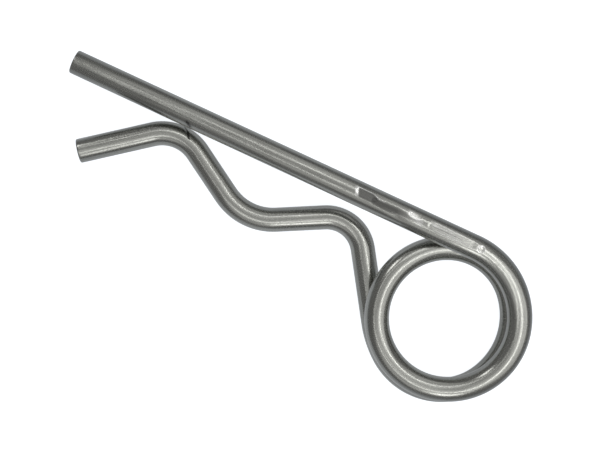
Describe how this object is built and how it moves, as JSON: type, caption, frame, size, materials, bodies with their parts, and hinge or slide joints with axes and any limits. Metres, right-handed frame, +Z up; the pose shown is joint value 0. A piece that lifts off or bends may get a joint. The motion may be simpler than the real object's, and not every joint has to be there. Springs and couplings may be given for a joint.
{
  "type": "hitch r clip pin",
  "caption": "R clip bent from round spring wire, with a straight pin leg, a coiled eye and a wavy leg that snaps round a shaft.",
  "frame": {"origin": "centre of the bounding box at ground level", "axes": "+X along the pin leg from its cut end towards the coil, +Y from the wavy leg towards the pin leg, +Z up along the coil's axis"},
  "size_m": [0.0862, 0.028, 0.012],
  "materials": {
    "spring_wire": "matte drawn spring steel wire, ungalvanised grey with fine lengthwise draw marks"
  },
  "bodies": {
    "root": {"clip": "spring_wire"}
  },
  "joints": []
}
